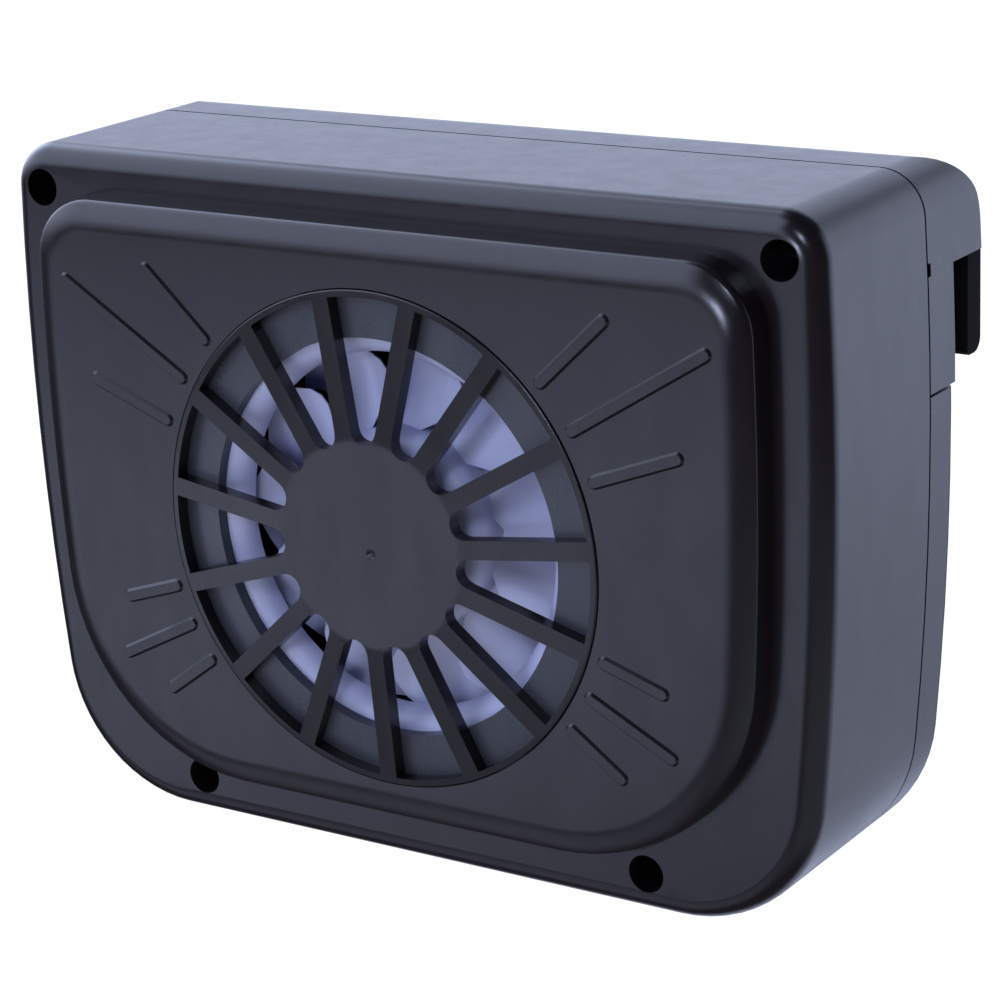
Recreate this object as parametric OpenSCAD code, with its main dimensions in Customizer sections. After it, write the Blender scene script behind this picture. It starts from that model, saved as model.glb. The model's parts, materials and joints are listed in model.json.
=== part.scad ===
// Solar-powered ventilation fan that hangs on a window pane.
// Local frame while modelling: the fan axis is the Y axis, the rim face of the casing is y = 0,
// the front is towards -Y and Z is up. place() then moves everything so that the origin is the
// middle of the object's base. All sizes are millimetres.

/* [Casing] */
// Widest part of the casing
case_w = 164; // [158:1:172]
// Height of the casing
case_h = 122.4; // [120:0.2:128]
// Depth from the rim face to the joint between front and rear shells
front_depth = 36; // [35:0.5:42]
// Depth of the rear shell behind that joint
rear_depth = 9.5; // [9:0.5:12]
// Wall thickness of the mouldings
wall = 2.2; // [2:0.1:2.4]
// Radius of the two top corners
corner_top_r = 8; // [7.5:0.5:10]
// Radius of the two bottom corners
corner_bottom_r = 27; // [22:1:32]
// Rounding between the rim face and the sides
edge_r = 4; // [3:0.5:4.5]
// Radius of the gentle bow of the two sides
side_bow_r = 600; // [500:50:900]

/* [Front panel] */
// Width of the raised panel
panel_w = 144.6; // [140:0.2:146]
// Distance from the fan axis up to the panel's top edge
panel_top = 53.9; // [52:0.1:55]
// Distance from the fan axis down to the panel's bottom edge
panel_bottom = 50.8; // [49:0.1:52]
// Height of the panel's upright wall
panel_wall_h = 4.2; // [4:0.1:4.4]
// Radius between that wall and the sloping edge
panel_edge_r = 1.5; // [1.2:0.1:1.6]
// Tilt where the sloping edge starts, in degrees
panel_tilt = 28; // [26:1:30]
// Distance from the wall to the flat face, across the sloping edge
panel_soft = 5.5; // [5:0.5:6]

/* [Grille] */
// Radius of the grille disc
grille_r = 43.6; // [43.4:0.1:44]
// Number of spokes
spokes = 15; // [13:1:17]
// Width of one spoke
spoke_w = 3.3; // [2.8:0.1:3.6]
// Radius where the openings start
hub_r = 17.7; // [16:0.1:19]
// Radius where the openings end
opening_r = 42.4; // [42:0.1:42.5]

/* [Fan] */
// Number of blades
blades = 11; // [9:1:12]
// Radius at the blade tips
fan_r = 33.5; // [32:0.5:36]
// Radius of the fan's hub
fan_hub_r = 18; // [17:0.5:19]
// Angle that one blade covers, in degrees
blade_span = 50; // [44:1:54]
// Radius of the round inlet
inlet_r = 35; // [34.5:0.1:35.5]
// Radius where the pale ring is narrowest
throat_r = 31.4; // [31:0.1:31.8]

/* [Hook] */
// Width of the gap that takes the window pane
slot_w = 6; // [5.5:0.5:6]
// Thickness of the outer flap that carries the solar cells
flap_t = 5; // [5:0.5:6]
// Radius of the hook's rounded back
hook_r = 12; // [11:0.5:13]
// Height of the outer flap
flap_h = 17.4; // [17.4:0.2:20]

/* [Hidden] */
$fn = 64;

shell_colour = [0.19, 0.20, 0.24];
black = [0.05, 0.05, 0.06];
white = [0.86, 0.86, 0.93];
steel = [0.72, 0.73, 0.75];

// Heights above and below the fan axis
base_drop = 61;
top_z = case_h - base_drop;
bow_z = 22;
split_z = 24;
slot_z = 44.5;
// Fore and aft stations
grille_y = -7.1;
grille_hub_y = -9.2;
grille_t = 2.6;
plate_back_y = -2.8;
flange_back_y = -1.6;
throat_y = 1;
fan_y0 = 2.2;
fan_y1 = 13.5;
web_y = 15.5;
motor_y = 17.1;
motor_len = 12.3;
motor_r = 12.2;
motor_screw_x = 6;
back_y = front_depth + rear_depth;
flap_y0 = back_y + slot_w;
flap_y1 = flap_y0 + flap_t;
middle_y = (grille_hub_y + flap_y1) / 2;
seam = 0.25;
gap = 0.02;

// Screw positions: [x, z] of the four case screws, and radius of the two inner screw circles
screw_top = [74, 53.8];
screw_bottom = [46.9, -53.7];
case_screw_at = [for (s = [-1, 1], p = [screw_top, screw_bottom]) [s * p[0], p[1]]];
inner_screw_r = 50;
bracket_angles = [0, 120, 240];
duct_angles = [60, 180, 300];

// ---------- helpers ----------
module place() translate([0, -middle_y, base_drop]) children();

// A flat outline in X and Z, made solid between two values of y
module slab(y0, y1) translate([0, y1, 0]) rotate([90, 0, 0]) linear_extrude(y1 - y0) children();

// A flat outline in Y and Z, made solid between two values of x
module side_slab(x0, x1) translate([x0, 0, 0]) rotate([90, 0, 90]) linear_extrude(x1 - x0) children();

// A turned solid about the fan axis, from an outline of [radius, y] points
module turned(outline) rotate([-90, 0, 0]) rotate_extrude($fn = 128) polygon(outline);

// A rod parallel to the fan axis
module rod(x, z, y0, y1, r) translate([x, y0, z]) rotate([-90, 0, 0]) cylinder(r = r, h = y1 - y0);

function turn(r, a) = [r * cos(a), r * sin(a)];
function arc(c, r, a0, a1, n) = [for (i = [0:n]) c + turn(r, a0 + (a1 - a0) * i / n)];
function mirrored(pts) = [for (i = [len(pts) - 1:-1:0]) [-pts[i][0], pts[i][1]]];

// Half-width of a corner's centre so that the corner meets the bowed side smoothly
function corner_x(w, r, z) = w / 2 - side_bow_r + sqrt(pow(side_bow_r - r, 2) - pow(z - bow_z, 2));

// Outline with bowed sides, small top corners and large bottom corners, shrunk by d all round
function outline(w, top, bottom, rt, rb, d) =
    let (cx = w / 2 - side_bow_r,
         ct = [corner_x(w, rt, top - rt), top - rt],
         cb = [corner_x(w, rb, bottom + rb), bottom + rb],
         at = atan2(ct[1] - bow_z, ct[0] - cx),
         ab = atan2(cb[1] - bow_z, cb[0] - cx),
         side = arc([cx, bow_z], side_bow_r - d, ab, at, 8),
         right = concat(arc(cb, rb - d, -90, ab, 14),
                        [for (i = [1:7]) side[i]],
                        arc(ct, rt - d, at, 90, 10)))
    concat(right, mirrored(right));
function case_outline(d) = outline(case_w, top_z, -base_drop, corner_top_r, corner_bottom_r, d);
function panel_outline(d) = outline(panel_w, panel_top, -panel_bottom, 12, 38, d);

// Solid lofted through rings of equal length, each ring an outline at one value of y
function raise(pts, y) = [for (p = pts) [p[0], y, p[1]]];
module loft(rings) {
    n = len(rings[0]);
    m = len(rings);
    pts = [for (ring = rings, p = ring) p];
    sides = [for (k = [0:m - 2], i = [0:n - 1])
             let (a = k * n + i, b = k * n + (i + 1) % n) each [[a, b, b + n], [a, b + n, a + n]]];
    polyhedron(pts, concat(sides, [[for (i = [n - 1:-1:0]) i]],
                           [[for (i = [0:n - 1]) (m - 1) * n + i]]), convexity = 6);
}

// Round bar swept along hand-picked points, smoothed between them
function mix3(a, b, c, d, t) = 0.5 * ((2 * b) + (c - a) * t + (2 * a - 5 * b + 4 * c - d) * t * t
                               + (3 * b - a - 3 * c + d) * t * t * t);
function smooth(p, per) = [for (k = [0:len(p) - 2], i = [0:per - 1])
    mix3(p[max(k - 1, 0)], p[k], p[k + 1], p[min(k + 2, len(p) - 1)], i / per),
    p[len(p) - 1]];
function unit(v) = v / norm(v);
module tube(route, r, sides) {
    p = smooth(route, 5);
    n = len(p);
    rings = [for (i = [0:n - 1])
        let (t = unit(p[min(i + 1, n - 1)] - p[max(i - 1, 0)]),
             u = unit(cross(t, [1, 0.15, 0.1])), v = cross(t, u))
        [for (k = [0:sides - 1]) p[i] + r * (u * cos(360 * k / sides) - v * sin(360 * k / sides))]];
    loft(rings);
}

// Screw along +Y: its head's front is at y0, its tip at y1
module screw(x, z, y0, y1, head_r, head_h, shank_r) {
    difference() {
        rod(x, z, y0, y0 + head_h, head_r);
        for (a = [0, 90]) translate([x, y0, z]) rotate([0, a, 0])
            cube([head_r * 1.3, head_h, 0.6], center = true);
    }
    rod(x, z, y0 + head_h, y1, shank_r);
}

// ---------- casing ----------
module case_body() loft(concat(
    [for (i = [8:-1:1]) let (t = 90 * i / 8)
        raise(case_outline(edge_r * (1 - cos(t))), edge_r * (1 - sin(t)))],
    [raise(case_outline(0), edge_r), raise(case_outline(0), front_depth - seam)]));

// Section of the panel's rim as [inset, height]: a round edge, then a slope that eases to the flat
slope_start = [0.25 + panel_edge_r * (1 - sin(panel_tilt)), panel_wall_h + panel_edge_r * cos(panel_tilt)];
slope_w = panel_soft - slope_start[0];
slope_h = slope_w * tan(panel_tilt) / 2;
panel_y = -slope_start[1] - slope_h;
panel_section = concat(
    [for (i = [0:5]) let (t = (90 - panel_tilt) * i / 5)
        [0.25 + panel_edge_r * (1 - cos(t)), panel_wall_h + panel_edge_r * sin(t)]],
    [for (i = [1:6]) let (t = i / 6) slope_start + [slope_w * t, slope_h * t * (2 - t)]]);
module panel_body() loft(concat(
    [for (i = [len(panel_section) - 1:-1:0]) let (p = panel_section[i]) raise(panel_outline(p[0]), -p[1])],
    [raise(panel_outline(0), 1)]));

// One raised decorative ray on the panel, with sloping sides, pointing away from the fan axis
function ray_outline(r0, r1, half) = concat(arc([r0, 0], half, 90, 270, 8), arc([r1, 0], half, -90, 90, 8));
module ray(angle, r0, r1) rotate([0, -angle, 0]) loft([
    raise(ray_outline(r0, r1, 0.85), panel_y - 0.45), raise(ray_outline(r0, r1, 1.65), panel_y + 0.4)]);
upper_rays = [[20.5, 63], [31.5, 75.5], [43, 63]];
lower_rays = [[18, 58], [27, 63.5], [36, 58]];

module front_shell() color(shell_colour) place() {
    difference() {
        union() {
            difference() {
                union() { case_body(); panel_body(); }
                slab(wall, front_depth) polygon(case_outline(wall));
                slab(panel_y + 2, wall + 1) polygon(panel_outline(2.4));
            }
            for (p = case_screw_at) rod(p[0], p[1], wall - 0.5, front_depth - seam, 5);
            for (a = bracket_angles) rotate([0, -a, 0])
                rod(inner_screw_r, 0, panel_y + 1.5, web_y, 3.4);
            for (a = duct_angles) rotate([0, -a, 0])
                rod(inner_screw_r, 0, panel_y + 1.5, flange_back_y - 0.4, 3.4);
            for (s = [0, 1]) mirror([s, 0, 0]) {
                for (k = upper_rays) ray(k[0], 46.5, k[1]);
                for (k = lower_rays) ray(-k[0], 46.5, k[1]);
            }
        }
        rod(0, 0, panel_y - 3, wall + 1, grille_r + rim_gap);
        for (p = case_screw_at) {
            rod(p[0], p[1], -1, 24, 3.35);
            rod(p[0], p[1], 23, front_depth + 1, 1.7);
        }
        for (a = bracket_angles) rotate([0, -a, 0]) rod(inner_screw_r, 0, web_y - 10, web_y + 1, 1.1);
        for (a = duct_angles) rotate([0, -a, 0]) rod(inner_screw_r, 0, panel_y + 2.3, 0, 1.1);
    }
}

// Rear mouldings share a tongue that fits inside the front shell
module tongue() difference() {
    union() {
        slab(33.5, front_depth + 1) ring_outline(wall + 0.15, wall + 1.4);
        slab(front_depth + 0.3, front_depth + 3) ring_outline(wall - 0.7, wall + 1.4);
    }
    for (p = case_screw_at) rod(p[0], p[1], 30, front_depth + seam, 5.4);
}
module ring_outline(d0, d1) difference() { polygon(case_outline(d0)); polygon(case_outline(d1)); }

module rear_shell() color(shell_colour) place() difference() {
    union() {
        intersection() {
            difference() {
                loft(concat([raise(case_outline(0), front_depth + seam)],
                    [for (i = [0:5]) let (t = 90 * i / 5)
                        raise(case_outline(2 * (1 - cos(t))), back_y - 2 + 2 * sin(t))]));
                slab(front_depth - 1, back_y - wall) polygon(case_outline(wall));
            }
            below_split();
        }
        intersection() { tongue(); below_split(); }
        for (s = [-1, 1]) rod(s * screw_bottom[0], screw_bottom[1], front_depth + seam, back_y - 1, 4.2);
    }
    for (s = [-1, 1]) rod(s * screw_bottom[0], screw_bottom[1], front_depth - 1, back_y - 3, 1.3);
}
module below_split() translate([-100, 30, -80]) cube([200, 30, 80 + split_z - seam]);
module above_split() translate([-100, 30, split_z + seam]) cube([200, 60, 60]);

// Side view of the hook, shrunk by d
function hook_side(d) = concat(
    [[front_depth + seam - d, top_z - d]],
    arc([flap_y1 - hook_r, top_z - hook_r], hook_r - d, 90, 0, 12),
    [[flap_y1 - d, slot_z + d], [back_y - d, slot_z + d], [back_y - d, split_z + seam - 2 * d],
     [front_depth + seam - d, split_z + seam - 2 * d]]);

module rear_hook() color(shell_colour) place() difference() {
    union() {
        difference() {
            intersection() {
                slab(front_depth + seam, flap_y1 + 1) polygon(case_outline(0));
                side_slab(-90, 90) polygon(hook_side(0));
            }
            intersection() {
                slab(front_depth - 3, flap_y1 + 1) polygon(case_outline(wall));
                side_slab(-90, 90) polygon(hook_side(wall));
            }
        }
        intersection() { tongue(); above_split(); }
        // Lap strip that backs the joint with the lower shell
        translate([-74, back_y - wall - 1.5, split_z - 3]) cube([148, 1.4, 6]);
        translate([-74, back_y - wall - 1.5, split_z + 0.6]) cube([148, 2, 2.4]);
        for (s = [-1, 1]) rod(s * screw_top[0], screw_top[1], front_depth + seam, back_y + 5, 4.2);
    }
    for (s = [-1, 1]) {
        rod(s * screw_top[0], screw_top[1], front_depth - 1, back_y - 2, 1.3);
        // Small notch at the joint, above the pane slot's level
        translate([s * 82 - 2, front_depth, slot_z - 0.6]) cube([4, 1.2, 2.2]);
    }
    exhaust_slots();
    for (x = panel_screw_x) translate([x, panel_screw_y, slot_z - 1]) cylinder(r = 0.95, h = 5);
    for (s = [-1, 1]) translate([s * lead_x, lead_hole_y, slot_z - 1]) cylinder(r = 1.1, h = 5);
}

// Three rows of exhaust slots across the hook's rounded back
module exhaust_slots() for (row = [0:2], i = [0:5])
    translate([-65.5 + i * 22, back_y + 5, slot_z + 3.4 + row * 3.5]) cube([21 - 3, 12, 1.9]);

// ---------- grille and inlet ----------
// One opening, from its round inner end to the disc's rim, centred on the X axis
function opening() =
    let (half = 180 / spokes, s = spoke_w / 2,
         c = (hub_r - s) / (1 - sin(half)), r = c * sin(half) - s, a = half - asin(s / opening_r))
    concat(arc([c, 0], r, 90 + half, 270 - half, 8), arc([0, 0], opening_r, -a, a, 8));

// Recess in the grille's back that takes the inlet plate
recess_r = opening_r + 0.4;
flange_r = 46.4;
rim_round = 0.3;
rim_gap = 0.2;

// The disc's face slopes gently from the hub down to the rim, and its back follows
slope_r = hub_r + 1.6;
function face_y(r) = grille_y + (grille_hub_y + 0.1 - grille_y) * (opening_r - r) / (opening_r - slope_r);
function back_face_y(r) = face_y(r) + grille_t;

module grille() color(shell_colour) place() difference() {
    turned(concat([[0, grille_hub_y + grille_t], [slope_r - 1, grille_hub_y + grille_t],
                   [slope_r, back_face_y(slope_r)], [recess_r, back_face_y(recess_r)],
                   [recess_r, plate_back_y], [flange_r, plate_back_y], [flange_r, panel_y + 2 + gap],
                   [grille_r, panel_y + 2 + gap]],
                  arc([grille_r - rim_round, face_y(grille_r) + rim_round], rim_round, 0, -85, 4),
                  [[slope_r, face_y(slope_r)], [slope_r - 0.6, grille_hub_y + 0.03],
                   [slope_r - 1.2, grille_hub_y], [0, grille_hub_y]]));
    for (i = [0:spokes - 1]) slab(grille_hub_y - 1, back_face_y(opening_r) + 0.4)
        rotate(-90 + (i + 0.5) * 360 / spokes) polygon(opening());
    // Small round dimple a little below the middle
    translate([0.4, grille_hub_y - 1.5, -1.4]) sphere(r = 1.8);
}

module inlet_plate() color(shell_colour) place() turned([
    [inlet_r, back_face_y(inlet_r) + gap], [recess_r - 0.1, back_face_y(recess_r - 0.1) + gap],
    [recess_r - 0.1, plate_back_y], [inlet_r, plate_back_y]]);

// Ear that carries one screw, on a part centred on the fan axis
module ear(angle, r0, y0, y1) difference() {
    rotate([0, -angle, 0]) {
        translate([r0, y0, -3]) cube([inner_screw_r - r0, y1 - y0, 6]);
        rod(inner_screw_r, 0, y0, y1, 4);
    }
    rotate([0, -angle, 0]) rod(inner_screw_r, 0, y0 - 1, y1 + 1, 1.35);
}

// Pale ring: a bell mouth that narrows to the throat just in front of the fan
module fan_duct() color(white) place() {
    bell = throat_y - plate_back_y - gap;
    turned(concat(
        [[flange_r, plate_back_y + gap], [flange_r, flange_back_y], [throat_r + bell, flange_back_y]],
        arc([throat_r + bell, throat_y], bell - (flange_back_y - plate_back_y), -90, -180, 8),
        arc([throat_r + bell, throat_y], bell, -180, -90, 10)));
    for (a = duct_angles) ear(a, 40, flange_back_y - 0.4, flange_back_y + 1.6);
}

// Pan-head screw that points forward: its head is behind the ear at y0, its tip at y1 < y0
module rear_screw(angle, y0, y1) rotate([0, -angle, 0]) {
    difference() {
        rod(inner_screw_r, 0, y0, y0 + 1.5, 2.1);
        translate([inner_screw_r, y0 + 1.5, 0]) cube([2.8, 1.4, 0.5], center = true);
        translate([inner_screw_r, y0 + 1.5, 0]) cube([0.5, 1.4, 2.8], center = true);
    }
    rod(inner_screw_r, 0, y1, y0, 1.05);
}

module duct_screws() color(steel) place() for (a = duct_angles)
    rear_screw(a, flange_back_y + 1.6, panel_y + 2.5);
module bracket_screws() color(steel) place() for (a = bracket_angles)
    rear_screw(a, web_y + 1.6, web_y - 8);

// ---------- motor ----------
module motor_screw_holes() for (s = [-1, 1]) rod(s * motor_screw_x, 0, web_y - 1, motor_y + 2, 1.02);

module motor_bracket() color(black) place() {
    difference() {
        turned([[3.3, web_y], [motor_r + 2, web_y], [motor_r + 2, web_y + 8],
                [motor_r + 0.05, web_y + 8], [motor_r + 0.05, motor_y - gap], [3.3, motor_y - gap]]);
        motor_screw_holes();
    }
    for (a = bracket_angles) {
        ear(a, motor_r + 1, web_y, web_y + 1.6);
        rotate([0, -a, 0]) translate([motor_r + 1, web_y, -1]) cube([32, 4, 2]);
    }
}

module motor_screws() color(steel) place() for (s = [-1, 1])
    translate([s * motor_screw_x, 0, 0]) difference() {
        union() { rod(0, 0, web_y - 1.2, web_y - gap, 1.7); rod(0, 0, web_y - 0.1, motor_y + 0.7, 1); }
        translate([0, web_y - 1.2, 0]) cube([2.4, 1, 0.4], center = true);
    }

module motor_can() color(steel) place() difference() {
    turned([[2.6, motor_y - 1.2], [3.2, motor_y - 1.2], [3.2, motor_y], [motor_r, motor_y],
            [motor_r, motor_y + motor_len], [motor_r - 0.7, motor_y + motor_len],
            [motor_r - 0.7, motor_y + 0.7], [2.6, motor_y + 0.7]]);
    motor_screw_holes();
}

module motor_magnets() color([0.25, 0.24, 0.26]) place() for (s = [0, 180]) rotate([0, s, 0])
    slab(motor_y + 1.5, motor_y + 9.5) polygon(concat(
        arc([0, 0], motor_r - 0.72, -62, 62, 16), arc([0, 0], motor_r - 3, 62, -62, 16)));

module motor_front_bush() color([0.72, 0.55, 0.3]) place() turned([
    [1.04, motor_y - 1.2], [2.58, motor_y - 1.2], [2.58, motor_y + 1.2], [1.04, motor_y + 1.2]]);
module motor_rear_bush() color([0.72, 0.55, 0.3]) place() turned([
    [1.04, motor_y + 11.2], [2.2, motor_y + 11.2], [2.2, motor_y + 13.4], [1.04, motor_y + 13.4]]);

module motor_end_cap() color([0.9, 0.9, 0.88]) place() difference() {
    turned([[2.22, motor_y + 11], [motor_r - 0.72, motor_y + 11], [motor_r - 0.72, motor_y + motor_len],
            [motor_r, motor_y + motor_len], [motor_r, motor_y + 13.4], [2.22, motor_y + 13.4]]);
    for (s = [-1, 1]) translate([s * 7.5 - 0.35, motor_y + 10, -1.6]) cube([0.7, 5, 3.2]);
}

module motor_terminals() color([0.8, 0.66, 0.3]) place() for (s = [-1, 1])
    difference() {
        translate([s * 7.5 - 0.3, motor_y + 10, -1.5]) cube([0.6, 6, 3]);
        translate([s * 7.5 - 1, motor_y + 15, 0]) rotate([0, 90, 0]) cylinder(r = 0.6, h = 2);
    }

// Leaf brushes that run from a terminal to the commutator
module motor_brushes() color([0.8, 0.5, 0.3]) place() for (s = [-1, 1])
    translate([s * 7.2, motor_y + 10.1, -0.7]) mirror([s > 0 ? 1 : 0, 0, 0]) cube([4.3, 0.3, 1.4]);

module motor_shaft() color(steel) place() rod(0, 0, fan_y0 + 2.5 + gap, motor_y + 14.4, 1);

module armature_core() color([0.5, 0.5, 0.52]) place() slab(motor_y + 2.5, motor_y + 8.5)
    difference() {
        union() {
            circle(r = 3.4);
            for (i = [0:2]) rotate(90 + i * 120) {
                translate([2, -1.1]) square([6, 2.2]);
                polygon(concat(arc([0, 0], 8.7, -46, 46, 12), arc([0, 0], 7.5, 46, -46, 12)));
            }
        }
        circle(r = 1 + gap);
    }

// One wound coil round each of the three poles
module armature_coils() color([0.65, 0.32, 0.14]) place() for (i = [0:2])
    rotate([0, -90 - i * 120, 0]) difference() {
        translate([3.6, motor_y + 1.8, -2.2]) cube([3.5, 7.4, 4.4]);
        translate([3, motor_y + 2.5 - gap, -1.1 - gap]) cube([5, 6 + 2 * gap, 2.2 + 2 * gap]);
    }

module commutator() color([0.75, 0.45, 0.25]) place() difference() {
    turned([[1 + gap, motor_y + 8.6], [2.6, motor_y + 8.6], [2.6, motor_y + 10.9],
            [1 + gap, motor_y + 10.9]]);
    for (i = [0:2]) rotate([0, -30 - i * 120, 0]) translate([2, motor_y + 9, -0.15])
        cube([1, 3, 0.3]);
}

module thrust_washers() color([0.9, 0.9, 0.9]) place() for (y = [motor_y + 1.35, motor_y - 1.9])
    turned([[1.02, y], [2.2, y], [2.2, y + 0.5], [1.02, y + 0.5]]);

// ---------- fan ----------
blade_t = 1.1;
// The leading edge is a sickle: furthest forward at this radius
sickle_r = 26;
function lead_angle(r) = 0.25 * pow(r - sickle_r, 2) - 3;
// The blades overlap at the hub and leave gaps near their tips
function chord_angle(r) = blade_span * (1.15 - 0.4 * (r - fan_hub_r) / (fan_r - fan_hub_r));

// One blade: a thin curved sheet from the hub to the tip, steeper towards its rear edge
module blade(angle) {
    nr = 8;
    nc = 8;
    function point(i, j, side) =
        let (r = fan_hub_r - 1 + (fan_r - fan_hub_r + 1) * i / nr, c = j / nc,
             a = angle + lead_angle(r) + chord_angle(r) * c,
             edge = sqrt(max(0.08, 1 - pow(2 * c - 1, 4))),
             y = fan_y0 + blade_t / 2 + (fan_y1 - fan_y0 - blade_t) * (0.5 * c + 0.5 * c * c)
                 + side * edge * blade_t / 2)
        [r * cos(a), y, r * sin(a)];
    grid = [for (side = [-1, 1], i = [0:nr], j = [0:nc]) point(i, j, side)];
    w = nc + 1;
    back = w * (nr + 1);
    quads = concat(
        [for (i = [0:nr - 1], j = [0:nc - 1]) let (p = i * w + j) [p, p + w, p + w + 1, p + 1]],
        [for (i = [0:nr - 1], j = [0:nc - 1]) let (p = back + i * w + j) [p, p + 1, p + w + 1, p + w]],
        [for (i = [0:nr - 1]) let (p = i * w) [p, p + back, p + back + w, p + w]],
        [for (i = [0:nr - 1]) let (p = i * w + nc) [p + w, p + back + w, p + back, p]],
        [for (j = [0:nc - 1]) [j + 1, j + 1 + back, j + back, j]],
        [for (j = [0:nc - 1]) let (p = nr * w + j) [p, p + back, p + 1 + back, p + 1]]);
    polyhedron(grid, [for (q = quads) each [[q[0], q[2], q[1]], [q[0], q[3], q[2]]]], convexity = 4);
}

hub_front_y = -1.5;
hub_round = 3;
module fan_rotor() color(white) place() {
    turned(concat(
        [[0, hub_front_y], [0, fan_y0 + 2.5], [1 + gap, fan_y0 + 2.5], [1 + gap, fan_y0 + 12],
         [3, fan_y0 + 12], [3, fan_y0 + 2.5], [fan_hub_r - 1.4, fan_y0 + 2.5],
         [fan_hub_r - 1.4, fan_y1 + 0.6], [fan_hub_r, fan_y1 + 0.6]],
        arc([fan_hub_r - hub_round, hub_front_y + hub_round], hub_round, 0, -90, 8)));
    for (i = [0:blades - 1]) blade(i * 360 / blades);
}

// ---------- fasteners ----------
module case_screws() color(steel) place() for (p = case_screw_at)
    screw(p[0], p[1], 21.8, p[1] > 0 ? back_y - 3 : back_y - 4, 2.9, 2.2, 1.28);

// ---------- solar panel ----------
panel_screw_x = [-60, 0, 60];
panel_screw_y = flap_y0 + 1.4;
lead_x = 7;
lead_hole_y = flap_y0 + 1.4;
frame_low = slot_z - flap_h;
pocket_y = flap_y1 - 2.4;
pocket_w = 144;
pocket_h = 13.4;
pocket_z = frame_low + 2.2;

module panel_frame() color(black) place() difference() {
    side_slab(-81.4, 81.4) polygon(concat(
        [[flap_y0, slot_z - gap], [flap_y0, frame_low + 0.6], [flap_y0 + 0.6, frame_low]],
        arc([flap_y1 - 2.5, frame_low + 2.5], 2.5, -90, 0, 6), [[flap_y1, slot_z - gap]]));
    translate([-pocket_w / 2, pocket_y, pocket_z]) cube([pocket_w, 5, pocket_h]);
    for (x = panel_screw_x) translate([x, panel_screw_y, slot_z - 9]) cylinder(r = 0.7, h = 10);
    for (s = [-1, 1]) translate([s * lead_x - 1.2, lead_hole_y - 0.9, slot_z - 7])
        cube([2.4, 3, 8]);
}

module panel_screws() color(steel) place() for (x = panel_screw_x)
    translate([x, panel_screw_y, 0]) {
        translate([0, 0, slot_z - 7.5]) cylinder(r = 0.68, h = 7.5 + wall);
        translate([0, 0, slot_z + wall]) difference() {
            cylinder(r = 1.3, h = 1.2);
            translate([0, 0, 1.2]) cube([2, 0.4, 1], center = true);
        }
    }

module cell_board() color([0.08, 0.2, 0.12]) place()
    translate([-pocket_w / 2 + 0.2, pocket_y + gap, pocket_z + 0.2])
        cube([pocket_w - 0.4, 1, pocket_h - 0.4]);

// Eight cut cells side by side
cells = 8;
module solar_cells() color([0.05, 0.07, 0.18]) place() for (i = [0:cells - 1])
    let (pitch = (pocket_w - 4) / cells)
    translate([-pocket_w / 2 + 2.3 + i * pitch, pocket_y + 1 + 2 * gap, pocket_z + 1.2])
        cube([pitch - 0.6, 0.35, pocket_h - 2.4]);

module cell_cover() color([0.6, 0.7, 0.9, 0.4]) place()
    translate([-pocket_w / 2 + 0.15, pocket_y + 1.4 + gap, pocket_z + 0.15])
        cube([pocket_w - 0.3, 0.85, pocket_h - 0.3]);

// ---------- wiring ----------
function lead_route(s) = [
    [s * lead_x, lead_hole_y, slot_z - 6], [s * lead_x, lead_hole_y, slot_z],
    [s * lead_x, lead_hole_y, slot_z + 5], [s * (lead_x + 1), lead_hole_y - 6, slot_z + 7],
    [s * (lead_x + 2), back_y - 5, slot_z + 2], [s * (lead_x + 2), back_y - 5, 30],
    [s * (lead_x + 3), back_y - 4.5, 15], [s * (lead_x + 2), back_y - 5, 6],
    [s * 8.6, motor_y + 15.6, 1], [s * 8.5, motor_y + 15, -1]];
module lead_positive() color([0.7, 0.08, 0.06]) place() tube(lead_route(1), 0.6, 8);
module lead_negative() color([0.04, 0.04, 0.04]) place() tube(lead_route(-1), 0.6, 8);

// Foam strips that cushion the pane
module glass_pads() color([0.12, 0.12, 0.12]) place() for (z = [28, -30])
    slab(back_y + gap, back_y + 1) polygon(concat(
        arc([-60, z + 2.5], 2.5, 90, 270, 8), arc([60, z + 2.5], 2.5, -90, 90, 8)));

front_shell();
grille();
inlet_plate();
fan_duct();
duct_screws();
motor_bracket();
bracket_screws();
motor_screws();
motor_can();
motor_magnets();
motor_front_bush();
motor_rear_bush();
motor_end_cap();
motor_brushes();
motor_terminals();
motor_shaft();
armature_core();
armature_coils();
commutator();
thrust_washers();
fan_rotor();
rear_shell();
rear_hook();
case_screws();
panel_frame();
panel_screws();
cell_board();
solar_cells();
cell_cover();
lead_positive();
lead_negative();
glass_pads();
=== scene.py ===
"""Looks of a solar window fan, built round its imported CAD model. Metres, Z up, front towards -Y."""
import json
import math

import bpy
from mathutils import Matrix, Vector


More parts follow.
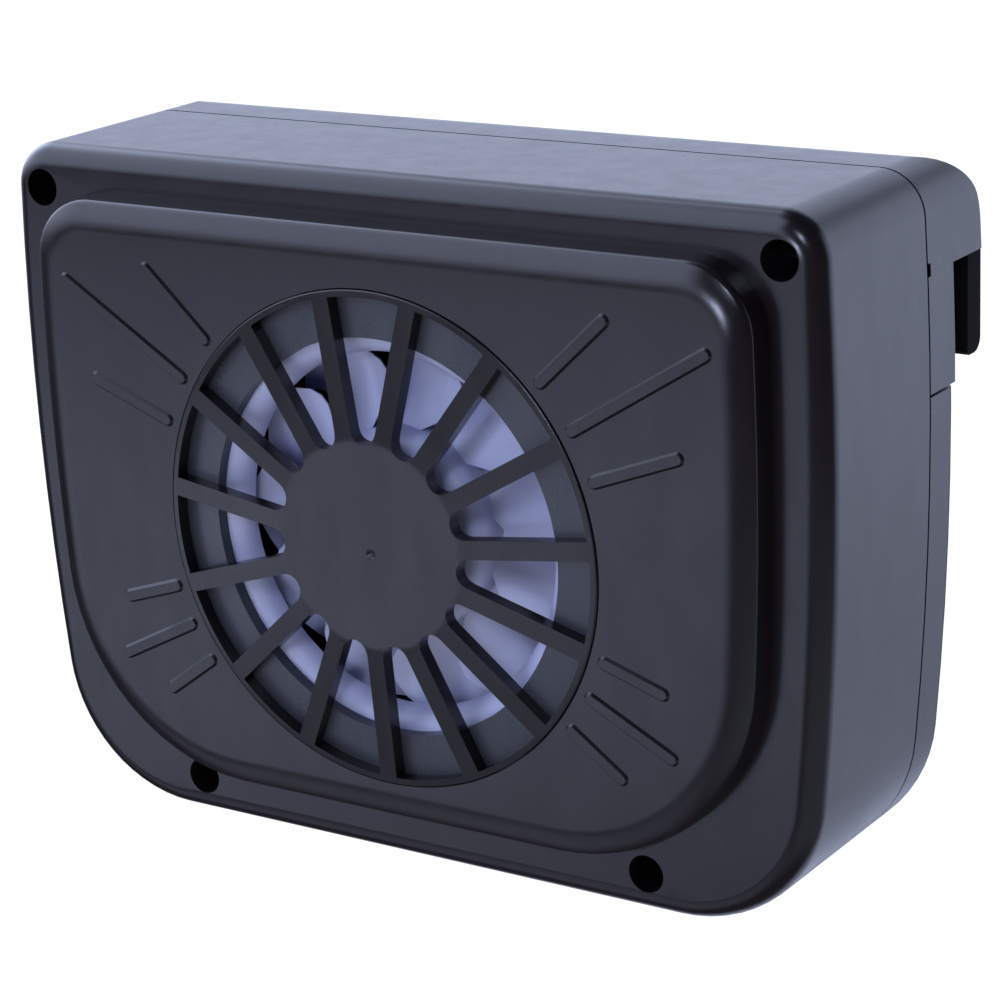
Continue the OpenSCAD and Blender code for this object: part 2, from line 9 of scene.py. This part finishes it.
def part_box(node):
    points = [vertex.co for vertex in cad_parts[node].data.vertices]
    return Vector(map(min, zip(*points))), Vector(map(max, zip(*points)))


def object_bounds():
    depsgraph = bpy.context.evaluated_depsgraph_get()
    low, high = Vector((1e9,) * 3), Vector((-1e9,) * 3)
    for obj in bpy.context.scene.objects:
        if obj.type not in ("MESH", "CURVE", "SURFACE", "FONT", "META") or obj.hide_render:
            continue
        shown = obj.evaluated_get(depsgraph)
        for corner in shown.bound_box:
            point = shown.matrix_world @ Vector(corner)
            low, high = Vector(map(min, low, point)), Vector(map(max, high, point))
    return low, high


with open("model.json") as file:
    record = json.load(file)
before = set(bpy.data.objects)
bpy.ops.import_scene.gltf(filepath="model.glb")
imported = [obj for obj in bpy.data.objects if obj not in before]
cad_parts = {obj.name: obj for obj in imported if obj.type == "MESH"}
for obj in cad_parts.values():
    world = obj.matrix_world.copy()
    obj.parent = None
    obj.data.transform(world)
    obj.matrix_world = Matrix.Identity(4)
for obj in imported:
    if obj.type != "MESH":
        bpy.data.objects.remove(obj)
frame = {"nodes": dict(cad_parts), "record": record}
cad_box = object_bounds()
nodes = frame["nodes"]
scene = bpy.context.scene
MM = 0.001


# ---------- camera ----------
CAMERA_AT = (0.29767, -0.43694, 0.22406)
CAMERA_FORWARD = Vector((-0.53143, 0.79335, -0.29695))
CAMERA_DOWN = Vector((0.12865, -0.27089, -0.95397))
SENSOR_MM = 36.0
LENS_MM = 113.09


def make_camera():
    """Looks at the front from its right-hand side and a little above, with a long lens."""
    right = CAMERA_DOWN.cross(CAMERA_FORWARD)
    data = bpy.data.cameras.new("camera")
    data.sensor_width = SENSOR_MM
    data.lens = LENS_MM
    data.clip_start = 10 * MM
    cam = bpy.data.objects.new("camera", data)
    axes = Matrix((right, -CAMERA_DOWN, -CAMERA_FORWARD)).transposed()
    cam.matrix_world = Matrix.Translation(CAMERA_AT) @ axes.to_4x4()
    scene.collection.objects.link(cam)
    scene.camera = cam


make_camera()


# ---------- node graphs ----------
class Graph:
    """Short names for building a node tree: most calls make a node and return its output."""

    def __init__(self, tree):
        self.tree = tree

    def node(self, kind, **settings):
        """The new node itself, for nodes whose sockets are set one by one."""
        made = self.tree.nodes.new(kind)
        for key, value in settings.items():
            setattr(made, key, value)
        return made

    def feed(self, socket, value):
        """Links another node's output to the socket, or sets the socket to a value."""
        if isinstance(value, bpy.types.NodeSocket):
            self.tree.links.new(value, socket)
        elif value is not None:
            socket.default_value = value

    def math(self, operation, a, b=None, clamp=False):
        made = self.node("ShaderNodeMath", operation=operation, use_clamp=clamp)
        self.feed(made.inputs[0], a)
        self.feed(made.inputs[1], b)
        return made.outputs[0]

    def vector(self, operation, a, b=None):
        made = self.node("ShaderNodeVectorMath", operation=operation)
        self.feed(made.inputs[0], a)
        self.feed(made.inputs[1], b)
        return made.outputs["Value" if operation == "DOT_PRODUCT" else "Vector"]

    def ramp(self, value, low, high, to_low=0.0, to_high=1.0):
        """Smooth step from to_low to to_high while the value goes from low to high."""
        made = self.node("ShaderNodeMapRange", interpolation_type="SMOOTHSTEP")
        for name, v in (("Value", value), ("From Min", low), ("From Max", high),
                        ("To Min", to_low), ("To Max", to_high)):
            self.feed(made.inputs[name], v)
        return made.outputs["Result"]

    def mix(self, factor, a, b):
        """Mix of two colours; sockets 6, 7 and output 2 are the node's colour ones."""
        made = self.node("ShaderNodeMix", data_type="RGBA")
        self.feed(made.inputs[0], factor)
        self.feed(made.inputs[6], a)
        self.feed(made.inputs[7], b)
        return made.outputs[2]

    def noise(self, where, scale, detail=2.0, roughness=0.5, stretch=None):
        if stretch is not None:
            where = self.vector("MULTIPLY", where, stretch)
        made = self.node("ShaderNodeTexNoise")
        self.feed(made.inputs["Vector"], where)
        made.inputs["Scale"].default_value = scale
        made.inputs["Detail"].default_value = detail
        made.inputs["Roughness"].default_value = roughness
        return made.outputs["Fac"]

    def place(self):
        """Position on the object, in metres."""
        return self.node("ShaderNodeTexCoord").outputs["Object"]

    def bump(self, height, depth):
        """Surface direction for a relief of this depth, in metres."""
        made = self.node("ShaderNodeBump")
        made.inputs["Strength"].default_value = 1.0
        made.inputs["Distance"].default_value = depth
        self.feed(made.inputs["Height"], height)
        return made.outputs["Normal"]


def rgb(r, g, b):
    """A solid colour as the sockets take it."""
    return (r, g, b, 1.0)


# ---------- materials ----------
# Noise scales of moulded plastic, per metre, and the depth of its grain in metres
CLOUD_SCALE = 45.0
SWIRL_SCALE = 160.0
GRAIN_SCALE = 3200.0
GRAIN_DEPTH = 0.0000035
LINES_DEPTH = 0.000004
WIRE_DEPTH = 0.00006
PORE_DEPTH = 0.00012
# Bus bars of a cell: height up the cell and half-width, both as a part of its height
BUS_BARS = (0.28, 0.72)
BUS_HALF = 0.045
FINGERS_PER_METRE = 625.0
FINGER_WIDTH = 0.08


def new_material(name):
    """A material with one Principled shader: returns the material, its graph and the shader."""
    mat = bpy.data.materials.new(name)
    mat.use_nodes = True
    tree = mat.node_tree
    tree.nodes.clear()
    g = Graph(tree)
    shader = g.node("ShaderNodeBsdfPrincipled")
    out = g.node("ShaderNodeOutputMaterial")
    tree.links.new(shader.outputs[0], out.inputs[0])
    return mat, g, shader


def moulded(name, dark, light, rough, grain=1.0, shine=0.5):
    """Moulded plastic: cloudy colour, a fine spark-eroded grain and slightly uneven gloss."""
    mat, g, shader = new_material(name)
    where = g.place()
    cloud = g.noise(where, CLOUD_SCALE, 3.0)
    fine = g.noise(where, GRAIN_SCALE, 1.0)
    swirl = g.noise(where, SWIRL_SCALE, 4.0, 0.6, (1.0, 1.0, 0.35))
    g.feed(shader.inputs["Base Color"], g.mix(g.ramp(cloud, 0.3, 0.7), rgb(*dark), rgb(*light)))
    gloss = g.math("ADD", g.ramp(swirl, 0.25, 0.75, rough - 0.03, rough + 0.03),
                   g.ramp(fine, 0.3, 0.7, -0.02, 0.02))
    g.feed(shader.inputs["Roughness"], gloss)
    shader.inputs["IOR"].default_value = 1.5
    shader.inputs["Specular IOR Level"].default_value = shine
    g.feed(shader.inputs["Normal"], g.bump(fine, GRAIN_DEPTH * grain))
    return mat


def metal(name, dark, light, rough, lines=(1.0, 1.0, 1.0), scale=900.0):
    """Bare metal with drawn or turned lines."""
    mat, g, shader = new_material(name)
    where = g.place()
    grain = g.noise(where, scale, 3.0, 0.6, lines)
    cloud = g.noise(where, 120.0, 2.0)
    g.feed(shader.inputs["Base Color"], g.mix(g.ramp(cloud, 0.3, 0.7), rgb(*dark), rgb(*light)))
    g.feed(shader.inputs["Roughness"], g.ramp(grain, 0.25, 0.75, rough - 0.08, rough + 0.08))
    shader.inputs["Metallic"].default_value = 1.0
    g.feed(shader.inputs["Normal"], g.bump(grain, LINES_DEPTH))
    return mat


def wound_copper():
    """Enamelled copper wire, lying in turns round each pole."""
    mat, g, shader = new_material("copper_wire")
    where = g.place()
    turns = g.node("ShaderNodeTexWave", wave_type="BANDS", bands_direction="Y")
    g.feed(turns.inputs["Vector"], where)
    turns.inputs["Scale"].default_value = 900.0
    turns.inputs["Distortion"].default_value = 0.4
    # Darker copper in the grooves between turns, which the bump sinks, and lighter on their crowns:
    # painted shade
    g.feed(shader.inputs["Base Color"],
           g.mix(turns.outputs["Fac"], rgb(0.22, 0.07, 0.03), rgb(0.6, 0.26, 0.12)))
    shader.inputs["Metallic"].default_value = 0.8
    shader.inputs["Roughness"].default_value = 0.3
    g.feed(shader.inputs["Normal"], g.bump(turns.outputs["Fac"], WIRE_DEPTH))
    return mat


def silicon():
    """Dark blue cut cells with two silver bus bars and fine fingers."""
    mat, g, shader = new_material("silicon")
    where = g.place()
    parts = g.node("ShaderNodeSeparateXYZ")
    g.feed(parts.inputs[0], where)
    crystal = g.node("ShaderNodeTexVoronoi", feature="F1")
    g.feed(crystal.inputs["Vector"], g.vector("MULTIPLY", where, (1.0, 1.0, 0.6)))
    crystal.inputs["Scale"].default_value = 420.0
    shade = g.node("ShaderNodeSeparateColor")
    g.feed(shade.inputs[0], crystal.outputs["Color"])
    blue = g.mix(shade.outputs[0], rgb(0.006, 0.012, 0.05), rgb(0.016, 0.035, 0.13))
    low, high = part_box("solar_cells")
    rise = g.math("DIVIDE", g.math("SUBTRACT", parts.outputs["Z"], low.z), high.z - low.z)
    bars = g.math("ADD", *(
        g.math("LESS_THAN", g.math("ABSOLUTE", g.math("SUBTRACT", rise, bar)), BUS_HALF)
        for bar in BUS_BARS), clamp=True)
    comb = g.math("FRACT", g.math("MULTIPLY", parts.outputs["X"], FINGERS_PER_METRE))
    fingers = g.math("LESS_THAN", comb, FINGER_WIDTH)
    silver = g.math("MAXIMUM", bars, g.math("MULTIPLY", fingers, 0.6))
    g.feed(shader.inputs["Base Color"], g.mix(silver, blue, rgb(0.5, 0.52, 0.55)))
    g.feed(shader.inputs["Metallic"], g.math("MULTIPLY", silver, 0.8))
    shader.inputs["Roughness"].default_value = 0.28
    return mat


def clear_cover():
    """Thin acrylic over the cells."""
    mat, g, shader = new_material("clear_acrylic")
    haze = g.noise(g.place(), 300.0, 3.0)
    g.feed(shader.inputs["Base Color"], g.mix(haze, rgb(0.9, 0.94, 1.0), rgb(0.97, 0.98, 1.0)))
    g.feed(shader.inputs["Roughness"], g.ramp(haze, 0.3, 0.7, 0.03, 0.09))
    shader.inputs["Transmission Weight"].default_value = 1.0
    shader.inputs["IOR"].default_value = 1.49
    return mat


def foam():
    """Closed-cell foam strip."""
    mat, g, shader = new_material("foam_strip")
    where = g.place()
    cells = g.node("ShaderNodeTexVoronoi", feature="F1")
    g.feed(cells.inputs["Vector"], where)
    cells.inputs["Scale"].default_value = 2600.0
    pores = cells.outputs["Distance"]
    # The pits of the pores, which the bump sinks, are painted darker: painted shade in the pores
    g.feed(shader.inputs["Base Color"],
           g.mix(g.ramp(pores, 0.1, 0.6), rgb(0.012, 0.012, 0.013), rgb(0.045, 0.045, 0.048)))
    shader.inputs["Roughness"].default_value = 0.92
    g.feed(shader.inputs["Normal"], g.bump(pores, PORE_DEPTH))
    return mat


SHELL = moulded("shell_plastic", (0.0062, 0.0042, 0.0055), (0.0078, 0.0056, 0.0070), 0.23)
# The inlet plate's copy of the shell plastic, painted lighter: painted light for the shade it sits in
# behind the grille
SHELL_PAINTED_LIGHTER = moulded("shell_plastic_painted_lighter", (0.030, 0.032, 0.042), (0.034, 0.036, 0.046), 0.3)
BLACK = moulded("black_plastic", (0.004, 0.004, 0.0045), (0.007, 0.007, 0.008), 0.6, 2.0, 0.02)
PALE = moulded("pale_plastic", (0.46, 0.48, 0.70), (0.49, 0.51, 0.73), 0.36)
CAP = moulded("cap_plastic", (0.66, 0.64, 0.58), (0.74, 0.72, 0.66), 0.45)
STEEL = metal("zinc_steel", (0.42, 0.43, 0.45), (0.58, 0.59, 0.61), 0.34, (1.0, 0.15, 1.0))
CORE = metal("core_steel", (0.2, 0.2, 0.21), (0.3, 0.3, 0.31), 0.45, (0.1, 6.0, 0.1), 500.0)
MAGNET = metal("ferrite", (0.035, 0.035, 0.038), (0.06, 0.06, 0.065), 0.62)
BRONZE = metal("bronze", (0.45, 0.29, 0.12), (0.6, 0.42, 0.2), 0.36)
WIRE = wound_copper()
BOARD = moulded("board", (0.012, 0.045, 0.022), (0.02, 0.07, 0.035), 0.5)
CELLS = silicon()
CLEAR = clear_cover()
RED = moulded("red_lead", (0.42, 0.015, 0.012), (0.52, 0.025, 0.02), 0.42)
LEAD = moulded("black_lead", (0.008, 0.008, 0.009), (0.014, 0.014, 0.015), 0.42)
FOAM = foam()
BY_SLOT = {"shell": SHELL, "black_plastic": BLACK, "pale_plastic": PALE, "cap_plastic": CAP,
           "steel": STEEL, "magnet": MAGNET, "core_steel": CORE, "bronze": BRONZE, "copper": WIRE,
           "board": BOARD, "cells": CELLS, "clear_cover": CLEAR, "red_lead": RED,
           "black_lead": LEAD, "foam": FOAM}
# Nodes that don't take their slot's material: the inlet plate gets the shell plastic painted lighter,
# painted light where it sits in shade behind the grille
BY_NODE = {"inlet_plate": SHELL_PAINTED_LIGHTER}


# ---------- CAD nodes ----------
SMOOTH_BELOW = 32.0
FLAT_WEIGHT = 80
WELD = 0.0001 * MM


def smoothing(angle):
    """Modifier tree that joins coincident points and smooths every edge flatter than angle."""
    tree = bpy.data.node_groups.new("smooth_below", "GeometryNodeTree")
    for way in ("INPUT", "OUTPUT"):
        tree.interface.new_socket("Geometry", in_out=way, socket_type="NodeSocketGeometry")
    g = Graph(tree)
    start = g.node("NodeGroupInput").outputs[0]
    drop = g.node("GeometryNodeRemoveAttribute")
    drop.inputs["Name"].default_value = "custom_normal"
    g.feed(drop.inputs[0], start)
    weld = g.node("GeometryNodeMergeByDistance")
    weld.inputs["Distance"].default_value = WELD
    g.feed(weld.inputs[0], drop.outputs[0])
    faces = g.node("GeometryNodeSetShadeSmooth", domain="FACE")
    g.feed(faces.inputs["Geometry"], weld.outputs[0])
    faces.inputs["Shade Smooth"].default_value = True
    flat = g.node("FunctionNodeCompare", data_type="FLOAT", operation="LESS_THAN")
    g.feed(flat.inputs[0], g.node("GeometryNodeInputMeshEdgeAngle").outputs[0])
    flat.inputs[1].default_value = math.radians(angle)
    edges = g.node("GeometryNodeSetShadeSmooth", domain="EDGE")
    g.feed(edges.inputs["Geometry"], faces.outputs[0])
    g.feed(edges.inputs["Shade Smooth"], flat.outputs[0])
    g.feed(g.node("NodeGroupOutput").inputs[0], edges.outputs[0])
    return tree


SMOOTH = smoothing(SMOOTH_BELOW)


def finish_shading(obj):
    """Smooth shading with true flats: a flat face's own direction wins at its border."""
    obj.modifiers.new("smooth", "NODES").node_group = SMOOTH
    weighted = obj.modifiers.new("weighted", "WEIGHTED_NORMAL")
    weighted.keep_sharp = True
    weighted.weight = FLAT_WEIGHT


slot_of = {part["node"]: part["material_slot"] for part in frame["record"]["subparts"]}
for name, obj in nodes.items():
    obj.data.materials.clear()
    obj.data.materials.append(BY_NODE.get(name, BY_SLOT[slot_of[name]]))
    finish_shading(obj)


# ---------- floor, light ----------
def sine(angle):
    """Sine of an angle in degrees."""
    return math.sin(math.radians(angle))


def cosine(angle):
    """Cosine of an angle in degrees."""
    return math.cos(math.radians(angle))


def towards(azimuth, elevation):
    """Unit vector: azimuth 0 is the front, -Y, and 90 the right, +X."""
    level = cosine(elevation)
    return (sine(azimuth) * level, -cosine(azimuth) * level, sine(elevation))


# Soft boxes of light round the object. Angles in degrees: azimuth, half-width of the full part,
# half-width where it ends, then the elevations where it starts, is full, starts to fade and ends.
# Last is the strength.
BOXES = [
    (-40, 2, 36, -31, -17, -20, -6, 1.56),      # low in front: seen in the flats of the front
    (-75, 45, 62, -8, 14, 55, 80, 2.1),         # high in front: seen in slopes that look up
    (-38, 18, 40, -68, -55, -38, -28, 0.42),    # below in front: slopes that look down
    (60, 30, 80, -70, -40, -24, -16, 0.35),     # below at the right
    (-146, 24, 60, -20, 5, 40, 65, 1.0),        # behind at the left: the top face
    (140, 8, 34, -45, -9, 15, 45, 1.4),         # behind at the right: the right side
    (180, 30, 60, -85, -60, -36, -20, 0.7),     # below behind: the rounded corner underneath
    (-9, 2, 5, -4, -2, 2, 4, 36.0),             # small lamp: streak on the panel's corner
    (18, 3, 7, 23, 27, 33, 37, 18.0),           # small lamp: spot on the casing's corner
]
AMBIENT = 0.04
TINT = (0.90, 1.0, 1.36)
WHITE = rgb(1.0, 1.0, 1.0)


def make_world():
    """Lights the object with the soft boxes and shows plain white behind it."""
    world = bpy.data.worlds.new("studio")
    world.use_nodes = True
    world.node_tree.nodes.clear()
    g = Graph(world.node_tree)
    way = g.node("ShaderNodeTexCoord").outputs["Generated"]
    parts = g.node("ShaderNodeSeparateXYZ")
    g.feed(parts.inputs[0], way)
    rise = parts.outputs["Z"]
    level_squared = g.math("SUBTRACT", 1.0, g.math("POWER", rise, 2.0))
    level = g.math("SQRT", g.math("MAXIMUM", level_squared, 1e-4))
    total = AMBIENT
    for azimuth, inner, outer, start, low, high, end, strength in BOXES:
        near = g.math("DIVIDE", g.vector("DOT_PRODUCT", way, towards(azimuth, 0)), level)
        across = g.ramp(near, cosine(outer), cosine(inner), 0.0, strength)
        above = g.ramp(rise, sine(start), sine(low))
        below = g.ramp(rise, sine(high), sine(end), 1.0, 0.0)
        total = g.math("ADD", total, g.math("MULTIPLY", across, g.math("MULTIPLY", above, below)))
    lit = g.node("ShaderNodeBackground")
    lit.inputs["Color"].default_value = rgb(*TINT)
    g.feed(lit.inputs["Strength"], total)
    seen = g.node("ShaderNodeBackground")
    seen.inputs["Color"].default_value = WHITE
    pick = g.node("ShaderNodeMixShader")
    g.feed(pick.inputs[0], g.node("ShaderNodeLightPath").outputs["Is Camera Ray"])
    g.feed(pick.inputs[1], lit.outputs[0])
    g.feed(pick.inputs[2], seen.outputs[0])
    g.feed(g.node("ShaderNodeOutputWorld").inputs[0], pick.outputs[0])
    scene.world = world


FLOOR_HALF = 3.0
FLOOR_DROP = 0.02 * MM


def make_floor():
    """White paper just under the object."""
    mesh = bpy.data.meshes.new("floor")
    corners = [(x * FLOOR_HALF, y * FLOOR_HALF, 0) for x, y in ((-1, -1), (1, -1), (1, 1), (-1, 1))]
    mesh.from_pydata(corners, [], [(0, 1, 2, 3)])
    floor = bpy.data.objects.new("floor", mesh)
    floor.location.z = cad_box[0].z - FLOOR_DROP
    scene.collection.objects.link(floor)
    mat, g, shader = new_material("floor_paper")
    tone = g.noise(g.place(), 3.0)
    g.feed(shader.inputs["Base Color"], g.mix(tone, rgb(0.10, 0.10, 0.10), rgb(0.12, 0.12, 0.12)))
    shader.inputs["Roughness"].default_value = 1.0
    shader.inputs["Specular IOR Level"].default_value = 0.0
    shader.inputs["Emission Color"].default_value = WHITE
    shader.inputs["Emission Strength"].default_value = 1.0
    mesh.materials.append(mat)
    floor.visible_glossy = False


make_world()
make_floor()
scene.view_settings.view_transform = "Standard"
scene.view_settings.look = "None"
